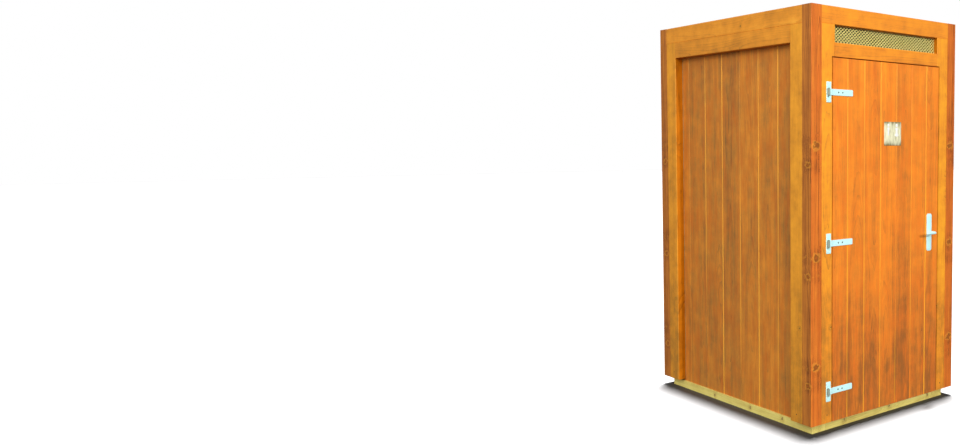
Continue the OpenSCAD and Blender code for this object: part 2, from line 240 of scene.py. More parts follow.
def pine(name, grain, across, depth, face, tones, seed, boards=None, knots=(), joint_w=0.0, bare=None,
         middle=0.0, streak=1.0, streak_w=59 * MM, mottle=0.5, ring=0.25, fibre=0.4, step=0.25, foot=0.0,
         rough=0.5, sawn=0.0):
    """Pine whose year rings are cylinders round a wandering pith that lies behind the face.

    grain, across and depth are the axes along the grain, over the width and into the wood, and face
    is (place, sign) of the outer face on the depth axis. One number, the depth of the stain, is built
    from long streaks, rings, fibres and a step for each board, with painted shade added towards the
    foot, and picks the colour from the four tones. boards is (edge of board 0, width of a board), or
    else middle is the place across that the pith keeps to. joint_w is half the width of the joints
    between boards: one bevel of each joint is painted pale, a painted highlight, and the other darker,
    a painted shade. bare is how deep the stain reaches. Each knot is (axis of its branch, place,
    radius).
    """
    made, tree = material(name)
    place = add(tree, "TexCoord")["Object"]
    axes = add(tree, "SeparateXYZ", {0: place})
    u, w = axes[across], axes[grain]
    v = add(tree, "Math", {0: axes[depth], 1: face[0]}, operation="SUBTRACT")[0]
    v = add(tree, "Math", {0: v, 1: face[1]}, operation="MULTIPLY")[0]
    if boards:
        edge, width = boards
        count = add(tree, "Math", {0: u, 1: edge}, operation="SUBTRACT")[0]
        count = add(tree, "Math", {0: count, 1: width}, operation="DIVIDE")[0]
        board = add(tree, "Math", {0: count}, operation="FLOOR")[0]
        inside = add(tree, "Math", {0: count}, operation="FRACT")[0]
        inside = add(tree, "Math", {0: inside, 1: 0.5}, operation="SUBTRACT")[0]
        from_middle = add(tree, "Math", {0: inside, 1: width}, operation="MULTIPLY")[0]
    else:
        board = add(tree, "Math", {0: float(seed), 1: 0.0})[0]
        from_middle = add(tree, "Math", {0: u, 1: middle}, operation="SUBTRACT")[0]
    own = add(tree, "CombineXYZ", {0: board, 1: float(seed)})[0]
    luck = add(tree, "TexWhiteNoise", {0: own}, noise_dimensions="3D")["Color"]
    luck = add(tree, "SeparateColor", {0: luck})

    # The same place in the board's own directions: across, into the wood, along the grain.
    laid = add(tree, "CombineXYZ", {0: u, 1: v, 2: w})[0]

    # The pith's place wanders slowly along the grain, which draws arches, and a knot pushes the rings
    # aside.
    slow = add(tree, "Math", {0: w, 1: 0.9}, operation="MULTIPLY")[0]
    slow = add(tree, "CombineXYZ", {0: board, 1: float(seed) * 1.7, 2: slow})[0]
    wander = add(tree, "TexNoise", {"Vector": slow, "Scale": 1.0, "Detail": 1.0})["Color"]
    wander = add(tree, "SeparateColor", {0: wander})
    pith_u = add(tree, "Math", {0: luck[0], 1: wander[0]})[0]
    pith_u = add(tree, "Math", {0: pith_u, 1: 0.10, 2: -0.10}, operation="MULTIPLY_ADD")[0]
    off_u = add(tree, "Math", {0: from_middle, 1: pith_u})[0]
    pith_v = add(tree, "Math", {0: wander[1], 1: 0.16, 2: -0.05}, operation="MULTIPLY_ADD")[0]
    pith_v = add(tree, "Math", {0: luck[1], 1: 0.05, 2: pith_v}, operation="MULTIPLY_ADD")[0]
    off_v = add(tree, "Math", {0: v, 1: pith_v})[0]
    if knots:
        nearest = knot_distance(tree, place, grain, knots)
        swell = add(tree, "MapRange", {"Value": nearest, "From Max": 5.0, "To Min": 0.022, "To Max": 0.0},
                    interpolation_type="SMOOTHSTEP")[0]
        off_v = add(tree, "Math", {0: off_v, 1: swell})[0]
    late = late_wood(tree, laid, off_u, off_v)

    # Fibres a few millimetres wide, and long streaks where the stain soaked in unevenly.
    hair = drawn_out(tree, laid, (210.0, 210.0, 7.0), {"Detail": 3.0, "Roughness": 0.6})
    long = add(tree, "VectorMath", {0: laid, 1: (1 / streak_w, 1 / streak_w, 1.3)}, operation="MULTIPLY")[0]
    apart = add(tree, "VectorMath", {0: own, 1: (3.1, 7.7, 0.0)}, operation="MULTIPLY")[0]
    long = add(tree, "VectorMath", {0: long, 1: apart})[0]
    soak = add(tree, "TexNoise", {"Vector": long, "Scale": 1.0, "Detail": 4.0, "Roughness": 0.55,
                                  "Distortion": 0.5})[0]
    patch = add(tree, "TexNoise", {"Vector": place, "Scale": 11.0, "Detail": 5.0, "Roughness": 0.62})[0]

    stain = add(tree, "Math", {0: soak, 1: streak, 2: 0.5 - 0.5 * streak}, operation="MULTIPLY_ADD")[0]
    average = 0.5
    for part, share, usual in ((patch, mottle, 0.5), (late, ring, 0.16), (hair, fibre, 0.5),
                               (luck[2], step, 0.5)):
        stain = add(tree, "Math", {0: part, 1: share, 2: stain}, operation="MULTIPLY_ADD")[0]
        average += share * usual
    stain = add(tree, "Math", {0: stain, 1: average - 0.5}, operation="SUBTRACT")[0]
    # Painted shade: the stain number rises, so the colour darkens, towards the foot, fading out 1.2 m up.
    if foot:
        painted_foot_shade = add(tree, "MapRange", {"Value": w, "From Min": 0.1, "From Max": 1.2, "To Min": foot,
                                      "To Max": 0.0}, interpolation_type="SMOOTHSTEP")[0]
        stain = add(tree, "Math", {0: stain, 1: painted_foot_shade})[0]
    # Painted light on the V-joints: on one side of each joint the bevel is painted pale as a highlight, more
    # on some boards than others, and on the other side the stain deepens as painted shade.
    if joint_w:
        half = 0.5 * width / joint_w  # half a board, in joint widths
        side = add(tree, "Math", {0: inside, 1: -2 * half}, operation="MULTIPLY")[0]
        painted_bevel_highlight = add(tree, "MapRange", {"Value": side, "From Min": half - 1.2, "From Max": half - 0.9})[0]
        painted_bevel_shade = add(tree, "MapRange", {"Value": side, "From Min": 0.6 - half, "From Max": 1.1 - half,
                                      "To Min": 0.7, "To Max": 0.0})[0]
        clear = add(tree, "Math", {0: luck[1], 1: 0.35, 2: wander[0]}, operation="MULTIPLY_ADD")[0]
        clear = add(tree, "MapRange", {"Value": clear, "From Min": 0.5, "From Max": 0.8, "To Min": 0.1})[0]
        painted_bevel_highlight = add(tree, "Math", {0: painted_bevel_highlight, 1: clear}, operation="MULTIPLY")[0]
        stain = add(tree, "Math", {0: stain, 1: painted_bevel_shade})[0]
    if knots:
        swirl = add(tree, "MapRange", {"Value": nearest, "From Min": 1.0, "From Max": 4.5, "To Min": 0.2,
                                       "To Max": 0.0}, interpolation_type="SMOOTHSTEP")[0]
        stain = add(tree, "Math", {0: stain, 1: swirl})[0]
    colour = add(tree, "ValToRGB", {0: stain}, stops=ramp(tones["wood"]))[0]
    if "blush" in tones:
        drift = drawn_out(tree, laid, (21.0, 21.0, 5.0), {"Detail": 6.0, "Roughness": 0.65})
        drift = add(tree, "MapRange", {"Value": drift, "From Min": 0.42, "From Max": 0.72, "To Max": 0.75})[0]
        colour = add(tree, "Mix", {0: drift, 6: colour, 7: paint(tones["blush"])}, data_type="RGBA")[2]
    # Faces more than 5 mm behind the outer face take the second set of tones: on the frames the deeper orange
    # of their edges, on the posts a darker, greener copy for the side faces, which is painted shade.
    if "edge" in tones:
        deep = add(tree, "MapRange", {"Value": v, "From Min": 2.5 * MM, "From Max": 5 * MM})[0]
        edge_and_shaded_side_tone = add(tree, "ValToRGB", {0: stain}, stops=ramp(tones["edge"]))[0]
        colour = add(tree, "Mix", {0: deep, 6: colour, 7: edge_and_shaded_side_tone}, data_type="RGBA")[2]
    # The painted highlight on one bevel of each joint.
    if joint_w:
        colour = add(tree, "Mix", {0: painted_bevel_highlight, 6: colour, 7: paint(tones["lip"])}, data_type="RGBA")[2]
    if knots:
        rim = add(tree, "MapRange", {"Value": nearest, "From Min": 0.8, "From Max": 1.9, "To Min": 0.7,
                                     "To Max": 0.0})[0]
        colour = add(tree, "Mix", {0: rim, 6: colour, 7: paint(tones["rim"])}, data_type="RGBA")[2]
        turns = add(tree, "Math", {0: nearest, 1: 22.0}, operation="MULTIPLY")[0]
        turns = add(tree, "Math", {0: turns}, operation="SINE")[0]
        eye = add(tree, "Math", {0: turns, 1: 0.03, 2: nearest}, operation="MULTIPLY_ADD")[0]
        heart = [(0.2, paint(tones["knot"])), (1.0, paint(tones["bark"]))]
        heart = add(tree, "ValToRGB", {0: eye}, stops=heart)[0]
        within = add(tree, "MapRange", {"Value": eye, "From Min": 0.8, "From Max": 1.2, "To Min": 0.85,
                                        "To Max": 0.0})[0]
        colour = add(tree, "Mix", {0: within, 6: colour, 7: heart}, data_type="RGBA")[2]
    if bare:
        behind = add(tree, "MapRange", {"Value": v, "From Min": bare - 1 * MM, "From Max": bare + 1 * MM})[0]
        plain = add(tree, "ValToRGB", {0: stain}, stops=ramp(tones["bare"]))[0]
        colour = add(tree, "Mix", {0: behind, 6: colour, 7: plain}, data_type="RGBA")[2]

    relief = add(tree, "Math", {0: hair, 1: 0.8, 2: late}, operation="MULTIPLY_ADD")[0]
    if sawn:
        mark = add(tree, "TexWave", {"Vector": place, "Scale": 90.0, "Distortion": 3.0, "Detail": 2.0},
                   bands_direction=grain)[1]
        relief = add(tree, "Math", {0: mark, 1: sawn, 2: relief}, operation="MULTIPLY_ADD")[0]
    dent = add(tree, "Bump", {"Height": relief, "Distance": 0.35 * MM, "Strength": 0.6})[0]
    gloss = add(tree, "Math", {0: hair, 1: 0.16, 2: rough - 0.08}, operation="MULTIPLY_ADD")[0]
    surface(tree, {"Base Color": colour, "Roughness": gloss, "Normal": dent, "Specular IOR Level": 0.22})
    return made


def ramp(codes):
    """Colour stops for hex codes, evenly spaced from 0 to 1: the two ends first, then those between."""
    places = np.linspace(0, 1, len(codes)).tolist()
    order = [0, len(codes) - 1, *range(1, len(codes) - 1)]
    return [(places[i], paint(codes[i])) for i in order]


def finish_in(node, made):
    """Gives a CAD node one material in every slot."""
    slots = frame["nodes"][node].data.materials
    slots.clear()
    slots.append(made)


# Pressure-treated pine: copper salts leave the sapwood a dull lemon yellow, matt and rough-sawn.
TREATED = {"wood": ("#fff29c", "#f0de7c", "#d2ba60", "#8c7438"), "rim": "#e4cc7c", "knot": "#a0834a",
           "bark": "#6c542c"}
SAWN = {"rough": 0.75, "sawn": 0.5}
BEAM_KNOT_R = 8 * MM
low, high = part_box("base_front_beam")
side_low, side_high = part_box("base_left_beam")
front_knots = [("Y", (x, low.y, 0.026), BEAM_KNOT_R) for x in (-0.298, 0.068, 0.409)]
left_knots = [("X", (side_low.x, y, 0.024), BEAM_KNOT_R) for y in (0.214, -0.130, -0.415)]
finish_in("base_front_beam", pine("treated_front_beam", "X", "Z", "Y", (low.y, 1), TREATED, 3,
                                  knots=front_knots, **SAWN))
finish_in("base_back_beam", pine("treated_back_beam", "X", "Z", "Y", (side_high.y, -1), TREATED, 4, **SAWN))
finish_in("base_left_beam", pine("treated_left_beam", "Y", "Z", "X", (side_low.x, 1), TREATED, 5,
                                 knots=left_knots, **SAWN))
finish_in("base_right_beam", pine("treated_right_beam", "Y", "Z", "X", (-side_low.x, -1), TREATED, 6, **SAWN))
finish_in("base_middle_joist", pine("treated_joist", "Y", "X", "Z", (high.z, -1), TREATED, 7, **SAWN))

# --- floor ---
# Planed treated boards laid from side to side over the base, with open gaps. The first has a tongue
# that fills the foot of the doorway. They are nailed down and wear a little greyer than the beams.

FLOOR_PITCH = 128.6 * MM
low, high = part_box("floor_boards")
WORN = {"wood": ("#e2d6a0", "#cbbb84", "#ab9763", "#857249")}
finish_in("floor_boards", pine("treated_floor_boards", "X", "Y", "Z", (high.z, -1), WORN, 8,
                               boards=(high.y - 10 * FLOOR_PITCH, FLOOR_PITCH), rough=0.65))

# --- corner posts ---
# Square pine posts with eased corners, dipped in a red-brown translucent stain. Their feet are
# notched over the base, and whorls of knots sit at the same heights on each, about 0.6 m apart.

# The second set of tones, a darker and greener copy, colours the posts' side faces: painted shade.
RED_STAIN = {"wood": ("#fc9c34", "#e8802a", "#c86a24", "#803c14"),
             "edge": ("#e49036", "#c87a2e", "#a86228", "#6e3c18"),
             "rim": "#ffac3c", "knot": "#a04c1c", "bark": "#54280e", "blush": "#e27024"}
WHORLS = (0.372, 0.952, 1.535)
SIDE_WHORL_DROP = 100 * MM
FRONT_KNOT_R, SIDE_KNOT_R = 20 * MM, 15 * MM
post_low, post_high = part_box("post_front_left")
POST_W = post_high.x - post_low.x
for name, sx, sy, seed in (("post_front_left", -1, -1, 11), ("post_front_right", 1, -1, 12),
                           ("post_back_left", -1, 1, 13), ("post_back_right", 1, 1, 14)):
    corner_x, corner_y = sx * abs(post_low.x), sy * abs(post_low.y)
    middle_x, middle_y = corner_x - sx * POST_W / 2, corner_y - sy * POST_W / 2
    knots = [("Y", (middle_x - 2 * MM, corner_y, z), FRONT_KNOT_R) for z in WHORLS]
    knots += [("X", (corner_x, middle_y - 8 * MM, z - SIDE_WHORL_DROP), SIDE_KNOT_R) for z in WHORLS]
    finish_in(name, pine("stained_" + name, "Z", "X", "Y", (corner_y, -sy), RED_STAIN, seed, knots=knots,
                         middle=middle_x, ring=0.5, fibre=0.7, streak=1.3, streak_w=13 * MM))

# --- frames ---
# Planed stiles run between the posts from the foot of the wall to the top rail, which lies over
# their ends. The side and back frames have a second rail under it. They are mortised together and
# stained golden on the face, and the stain has gone deep orange on the edges, which drank more.

ORANGE_EDGE = ("#e08400", "#d07800", "#c47000", "#a05a00")
BARE = ("#b8c29c", "#a4ae88", "#8a9470", "#6e765a")
GOLD_FRONT = {"wood": ("#ffbc32", "#ffaa2a", "#f0952a", "#c27a2a"), "edge": ORANGE_EDGE, "bare": BARE,
              "rim": "#ffb83c", "knot": "#9c5e24", "bark": "#6a3c16"}
# The side and back stiles take a darker, greener copy of the front's tones: painted shade for faces that get
# less light.
GOLD_SHADED_SIDE = {"wood": ("#ffba3c", "#f6a630", "#de922c", "#b0782c"), "edge": ORANGE_EDGE, "bare": BARE,
             "rim": "#f6b03c", "knot": "#905c24", "bark": "#644018"}
RAIL_FRONT = {**GOLD_FRONT, "wood": ("#ffb232", "#fc9e2a", "#ea8c2a", "#bc722a")}
# The side and back rails likewise take a darker, greener copy: painted shade.
RAIL_SHADED_SIDE = {**GOLD_SHADED_SIDE, "wood": ("#fcae3a", "#ee9a30", "#d4882c", "#a8702c")}
low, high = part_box("hinge_stile")
RAIL_LOOK = {"streak": 0.6, "mottle": 1.1, "ring": 0.35, "bare": high.y - low.y - 2 * MM}
# The stiles are darkened towards their foot: painted shade.
STILE_LOOK = {"foot": 0.26, **RAIL_LOOK}
FRONT_PIN_KNOT_R, SIDE_PIN_KNOT_R = 7 * MM, 6 * MM
knots = [("Y", ((low.x + high.x) / 2 + 25 * MM, low.y, 0.570), FRONT_PIN_KNOT_R)]
finish_in("hinge_stile", pine("golden_hinge_stile", "Z", "X", "Y", (low.y, 1), GOLD_FRONT, 21, knots=knots,
                              middle=low.x, **STILE_LOOK))
low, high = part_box("latch_stile")
knots = [("Y", ((low.x + high.x) / 2 - 28 * MM, low.y, 0.574), FRONT_PIN_KNOT_R)]
finish_in("latch_stile", pine("golden_latch_stile", "Z", "X", "Y", (low.y, 1), GOLD_FRONT, 22, knots=knots,
                              middle=high.x, **STILE_LOOK))
for name, seed in (("front_top_rail", 23), ("door_head_rail", 24)):
    low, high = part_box(name)
    finish_in(name, pine("golden_" + name, "X", "Z", "Y", (low.y, 1), RAIL_FRONT, seed, middle=low.z,
                         **RAIL_LOOK))
for side, sign, seed in (("left", -1, 31), ("right", 1, 36)):
    name = side + "_stiles"
    low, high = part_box(name)
    outer = sign * max(abs(low.x), abs(high.x))
    knots = [("X", (outer, y, z), SIDE_PIN_KNOT_R) for y, z in ((-0.612, 0.570), (0.560, 0.578))]
    finish_in(name, pine("golden_" + name, "Z", "Y", "X", (outer, -sign), GOLD_SHADED_SIDE, seed, knots=knots,
                         middle=low.y, **STILE_LOOK))
    top_knot = [("X", (outer, -0.116, 2.200), SIDE_PIN_KNOT_R)]
    for k, (part, knots) in enumerate((("_top_rail", top_knot), ("_second_rail", []))):
        name = side + part
        low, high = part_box(name)
        finish_in(name, pine("golden_" + name, "Y", "Z", "X", (outer, -sign), RAIL_SHADED_SIDE, seed + 1 + k,
                             knots=knots, middle=low.z, **RAIL_LOOK))
low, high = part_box("back_stiles")
finish_in("back_stiles", pine("golden_back_stiles", "Z", "X", "Y", (high.y, -1), GOLD_SHADED_SIDE, 41, middle=low.x,
                              **STILE_LOOK))
for name, seed in (("back_top_rail", 42), ("back_second_rail", 43)):
    low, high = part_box(name)
    finish_in(name, pine("golden_" + name, "X", "Z", "Y", (high.y, -1), RAIL_SHADED_SIDE, seed, middle=low.z,
                         **RAIL_LOOK))

# --- lining and roof boards ---
# Upright V-jointed pine boards let in behind the stiles, and roof boards of the same kind laid from
# front to back. They were stained brown on the weather side before they went in, bare inside.

BOARD_W = 169.5 * MM
FIRST_BOARD_W = 161 * MM
VEE_W = 8 * MM
CENTRED = -8.5  # edge of board 0, in board widths, when another board lies on the middle line
# The palest tone here paints a highlight on one bevel of each joint.
BROWN_STAIN = {"wood": ("#f09632", "#da8a32", "#b87a34", "#825e32"), "bare": BARE, "lip": "#ffb43c",
               "blush": "#cc6a22"}
low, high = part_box("left_boards")
BOARD_LOOK = {"joint_w": VEE_W / 2, "bare": (high.x - low.x) / 2, "streak": 1.1,
              "streak_w": 50 * MM, "mottle": 0.85, "fibre": 0.55, "ring": 0.35, "step": 0.2}
edge = high.y - FIRST_BOARD_W - 8 * BOARD_W
for side, sign, seed in (("left", -1, 51), ("right", 1, 52)):
    name = side + "_boards"
    low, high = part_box(name)
    outer = low.x if sign < 0 else high.x
    finish_in(name, pine("brown_" + name, "Z", "Y", "X", (outer, -sign), BROWN_STAIN, seed,
                         boards=(edge, BOARD_W), **BOARD_LOOK))
low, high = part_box("back_boards")
finish_in("back_boards", pine("brown_back_boards", "Z", "X", "Y", (high.y, -1), BROWN_STAIN, 53,
                              boards=(low.x + FIRST_BOARD_W - BOARD_W, BOARD_W), **BOARD_LOOK))
low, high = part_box("roof_boards")
finish_in("roof_boards", pine("brown_roof_boards", "Y", "X", "Z", (high.z, -1), BROWN_STAIN, 54,
                              boards=(CENTRED * BOARD_W, BOARD_W), **BOARD_LOOK))
low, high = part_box("roof_joists")
finish_in("roof_joists", pine("bare_roof_joists", "X", "Z", "Y", (low.y, 1), {"wood": BARE}, 55, rough=0.7,
                              sawn=0.5))

# --- door ---
# Seven V-jointed boards, butted flush with the frame's face, on three ledges that bear on its
# inside, and a thicker block where the lock is let in. Stained red gold on both sides.

DOOR_BOARD_W = 129 * MM
# The palest tone here paints a highlight on one bevel of each joint.
DOOR_STAIN = {"wood": ("#ffaa2e", "#ff942a", "#e0802a", "#a4622a"), "lip": "#ffb030", "blush": "#f27a22"}
low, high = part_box("door_boards")
# The door boards are darkened towards their foot: painted shade.
finish_in("door_boards", pine("red_gold_door_boards", "Z", "X", "Y", (low.y, 1), DOOR_STAIN, 61,
                              boards=(CENTRED * DOOR_BOARD_W, DOOR_BOARD_W), joint_w=VEE_W / 2,
                              streak=1.1, streak_w=48 * MM, mottle=0.7, step=0.2, foot=0.42))
low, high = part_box("door_ledges")
finish_in("door_ledges", pine("red_gold_ledges", "X", "Z", "Y", (high.y, -1), DOOR_STAIN, 62, streak=0.7))
low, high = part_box("lock_block")
finish_in("lock_block", pine("red_gold_lock_block", "Z", "X", "Y", (high.y, -1), DOOR_STAIN, 63, middle=low.x,
                             streak=0.7))

# --- vent ---
# Expanded steel mesh let into the frame over the door. Each strand is slit and pulled into a zigzag
# that meets its neighbours at short bonds, tilted out of the sheet, and passivated dull yellow.


def piece(name, body, made, grids, replaces=(), crease=35):
    """One mesh object from grids of points. A grid is an array of rows, and each row is a closed ring.

    Points j and j + 1 of row i and of row i + 1 make a quad. Points that fall together, at the poles,
    are merged, and edges sharper than crease degrees stay sharp.
    """
    points, quads, start = [], [], 0
    for grid in grids:
        rows, ring = grid.shape[:2]
        i, j = np.meshgrid(np.arange(rows - 1), np.arange(ring), indexing="ij")
        a, b = i + 1, (j + 1) % ring
        corners = np.stack([i * ring + j, i * ring + b, a * ring + b, a * ring + j], -1)
        quads.append(start + corners.reshape(-1, 4))
        points.append(grid.reshape(-1, 3))
        start += rows * ring
    mesh = bpy.data.meshes.new(name)
    mesh.from_pydata(np.concatenate(points), [], np.concatenate(quads))
    work = bmesh.new()
    work.from_mesh(mesh)
    bmesh.ops.remove_doubles(work, verts=work.verts, dist=0.002 * MM)
    bmesh.ops.recalc_face_normals(work, faces=work.faces)
    work.to_mesh(mesh)
    work.free()
    mesh.shade_smooth()
    mesh.set_sharp_from_angle(angle=math.radians(crease))
    mesh.materials.append(made)
    made_piece = bpy.data.objects.new(name, mesh)
    bpy.context.scene.collection.objects.link(made_piece)
    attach(made_piece, body)
    if replaces:
        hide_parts(*replaces)


def metal(name, colour, rough, tint, grain_axis=None, grain_mm=0.6, long=50.0, worn=0.06, bright=1.0,
          barrel_shade=None):
    """A bare or plated metal. Fine scratches or brush lines along grain_axis vary its roughness and colour.

    long is a scratch's length over its width, and bright is the share of bare metal: a zinc bloom or an
    anodised skin scatters the rest. The last argument is (upright axis, radius, colour) of a barrel that
    is painted in that darker colour: painted shade on its round side.
    """
    made, tree = material(name)
    place = add(tree, "TexCoord")["Object"]
    scale = [1 / (grain_mm * MM)] * 3
    if grain_axis:
        scale["XYZ".index(grain_axis)] /= long
    stretched = add(tree, "VectorMath", {0: place, 1: scale}, operation="MULTIPLY")[0]
    lines = add(tree, "TexNoise", {"Vector": stretched, "Scale": 1.0, "Detail": 3.0})[0]
    cloud = add(tree, "TexNoise", {"Vector": place, "Scale": 45.0, "Detail": 3.0})[0]
    share = add(tree, "Math", {0: lines, 1: 0.5}, operation="MULTIPLY")[0]
    share = add(tree, "Math", {0: cloud, 1: 0.5, 2: share}, operation="MULTIPLY_ADD")[0]
    shade = add(tree, "MapRange", {"Value": share, "From Min": 0.3, "From Max": 0.7})[0]
    coat = add(tree, "Mix", {0: shade, 6: paint(tint), 7: paint(colour)}, data_type="RGBA")[2]
    # Painted shade: within the barrel's radius of the upright axis the colour turns to the darker one.
    if barrel_shade:
        plan = add(tree, "VectorMath", {0: place, 1: (1.0, 1.0, 0.0)}, operation="MULTIPLY")[0]
        away = add(tree, "VectorMath", {0: plan, 1: barrel_shade[0]}, operation="DISTANCE")["Value"]
        painted_barrel_shade = add(tree, "MapRange", {"Value": away, "From Min": barrel_shade[1], "From Max": 1.1 * barrel_shade[1],
                                        "To Min": 1.0, "To Max": 0.0})[0]
        coat = add(tree, "Mix", {0: painted_barrel_shade, 6: coat, 7: paint(barrel_shade[2])}, data_type="RGBA")[2]
    gloss = add(tree, "Math", {0: share, 1: 4 * worn, 2: rough - 2 * worn}, operation="MULTIPLY_ADD")[0]
    dent = add(tree, "Bump", {"Height": lines, "Distance": 0.05 * MM, "Strength": 0.5})[0]
    surface(tree, {"Base Color": coat, "Metallic": bright, "Roughness": gloss, "Normal": dent})
    return made


DIAMOND_W, DIAMOND_H = 23.2 * MM, 18.4 * MM
STRAND_W, STRAND_T = 3.4 * MM, 1.2 * MM
STRAND_TILT = 0.2
TIP_CUT = 1.35
GROOVE = 4 * MM
STEPS = 6
low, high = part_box("vent_mesh")
across, rows = round((high.x - low.x) / DIAMOND_W), round((high.z - low.z) / DIAMOND_H)
half_w, half_h = (high.x - low.x) / across / 2, (high.z - low.z) / rows / 2
corner = np.array([[-1, -1], [1, -1], [1, 1], [-1, 1]]) / 2
side, depth = corner[:, 0] * STRAND_W, corner[:, 1] * STRAND_T
x = np.linspace(-half_w, (2 * across + 1) * half_w, STEPS * (2 * across + 2) + 1)
strands = []
for k in range(2 * rows):
    # A strand's line: a triangle wave between two levels of bonds, with its tips cut flat by a quarter.
    wave = np.abs((x / half_w + k) % 2 - 1) * 2 - 1
    z = (k + 0.5) * half_h + np.clip(wave * TIP_CUT, -1, 1) * (half_h / 2 - STRAND_W / 2)
    slope = np.gradient(z, x)
    out_x, out_z = np.stack([-slope, np.ones_like(slope)])[:, :, None] / np.hypot(slope, 1)[:, None]
    ring = np.stack([x[:, None] + out_x * side, depth + out_z * side * STRAND_TILT,
                     z[:, None] + out_z * side], -1)
    ring[..., 0] = np.clip(ring[..., 0], -GROOVE, high.x - low.x + GROOVE)
    strands.append(ring + np.array([low.x, (low.y + high.y) / 2, low.z]))
yellow_steel = metal("yellow_passivated_steel", "#fff69a", 0.5, "#f0dc78", grain_mm=1.2, worn=0.08,
                     bright=0.05)
piece("expanded_vent_mesh", "cabin", yellow_steel, strands, ["vent_mesh"], crease=30)

# --- hinges ---
# Three galvanised T-hinges. A strap is rolled round the pin into an eye, steps down on to the door
# and is screwed there, and the plate with its two knuckles is screwed to the stile.


def turned(profile, centre, axis, sides=24):
    """A turned solid: each (height, radius) of the profile is a ring round the axis through centre."""
    profile = np.array(profile)
    turn = np.linspace(0, 2 * np.pi, sides, endpoint=False)
    along = "XYZ".index(axis)
    grid = np.zeros((len(profile), sides, 3))
    grid[..., along] = profile[:, :1]
    grid[..., (along + 1) % 3] = profile[:, 1:] * np.cos(turn)
    grid[..., (along + 2) % 3] = profile[:, 1:] * np.sin(turn)
    return grid + np.array(centre)


def plate(width, height, thick, corner, ease, centre, front):
    """An upright plate on the plane y = front, towards -y: a rounded rectangle drawn in to its middle.

    The rows run from the middle of the back over the rim to the middle of the face. ease rounds the
    rim of the face: row by row, a quarter circle carries the outline inwards as it comes forward.
    """
    # The ring is turned a hair off the axes, where the signs of cos and sin would be 0.
    turn = np.linspace(0, 2 * np.pi, 32, endpoint=False) + 0.001
    cos, sin = np.cos(turn), np.sin(turn)
    rows = [(0, 0, 0), (0, 0, 1)]
    for q in np.linspace(0, np.pi / 2, 4):
        rows.append((thick - ease + ease * np.sin(q), ease * (1 - np.cos(q)), 1))
    rows += [(thick, ease, 0.5), (thick, ease, 0)]
    grid = []
    for out, inset, share in rows:
        px = (np.sign(cos) * (width / 2 - corner) + cos * (corner - inset)) * share
        pz = (np.sign(sin) * (height / 2 - corner) + sin * (corner - inset)) * share
        grid.append(np.stack([centre[0] + px, np.full_like(px, front - out), centre[1] + pz], -1))
    return np.array(grid)


def screw(centre, radius, height, out=-1, slot=0.55 * MM):
    """A screw head on a plane square to y: a dome that falls off as r ^ 2.5, less a cross cut into it."""
    r, turn = np.meshgrid(np.linspace(1, 0, 12), np.linspace(0, 2 * np.pi, 32, endpoint=False), indexing="ij")
    x, z = radius * r * np.cos(turn), radius * r * np.sin(turn)
    arm = np.minimum(np.abs(x), np.abs(z))
    cross = (arm < slot) & (r < 0.62)
    rise = height * (1 - r ** 2.5) - np.where(cross, 0.75 * height, 0)
    return np.stack([centre[0] + x, centre[1] + out * rise, centre[2] + z], -1)


def strap(line, thick, height, foot_z, round_end):
    """A strip carried along a line in plan: a rectangle with eased edges, lower over the last stretch.

    At distance d from the far end, inside round_end, the height falls by a quarter circle.
    """
    line = np.array(line)
    step = np.gradient(line, axis=0)
    normal = np.stack([-step[:, 1], step[:, 0]], -1) / np.hypot(step[:, 0], step[:, 1])[:, None]
    run = np.concatenate([[0], np.cumsum(np.hypot(*np.diff(line, axis=0).T))])
    left = np.clip(run[-1] - run, 0, round_end)
    drop = round_end - np.sqrt(np.maximum(round_end ** 2 - (round_end - left) ** 2, 0))
    ease = 0.6 * MM
    t, h = thick / 2, height / 2
    section = np.array([[-t, -h + ease], [-t + ease, -h], [t - ease, -h], [t, -h + ease],
                        [t, h - ease], [t - ease, h], [-t + ease, h], [-t, h - ease]])
    up = np.sign(section[:, 1]) * np.maximum(np.abs(section[:, 1])[None] - drop[:, None], 0.2 * MM)
    grid = np.stack([line[:, None, 0] + normal[:, None, 0] * section[None, :, 0],
                     line[:, None, 1] + normal[:, None, 1] * section[None, :, 0], foot_z + h + up], -1)
    ends = [grid[:1].mean(1, keepdims=True).repeat(8, 1), grid, grid[-1:].mean(1, keepdims=True).repeat(8, 1)]
    return np.concatenate(ends)


hinge = next(j for j in frame["joints"] if j["name"] == "door_hinge")
PIN_X, PIN_Y = hinge["pos_m"][:2]
band_low, band_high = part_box("hinge_bands")
face_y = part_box("door_boards")[0].y
HINGE_T = 3.5 * MM
BAND_H = 33 * MM
PLATE_W, PLATE_H = 33 * MM, 107 * MM
PIN_R, PIN_HEAD_R = 3.5 * MM, 3.6 * MM
EYE_R = 7.1 * MM
KNUCKLE_R, KNUCKLE_H = 6 * MM, 4 * MM
KNUCKLE_GAP = 0.3 * MM
WEB_W = 11 * MM
PLATE_SCREW_Z = 36 * MM
STEP_FROM, STEP_TO = 26 * MM, 38 * MM
plate_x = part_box("hinge_plates")[1].x - PLATE_W / 2
hinge_zs = np.linspace(band_low.z, band_high.z - BAND_H, 3) + BAND_H / 2
# The barrel round each pin, with the eye and knuckles, is painted a darker grey: painted shade.
galvanised = metal("galvanised_steel", "#d8ffff", 0.55, "#ccffff", grain_mm=2.0, bright=0.05,
                   barrel_shade=((PIN_X, PIN_Y, 0.0), EYE_R, "#8e9e90"))
screw_steel = metal("dulled_screw_steel", "#8f9a92", 0.5, "#6f776f")

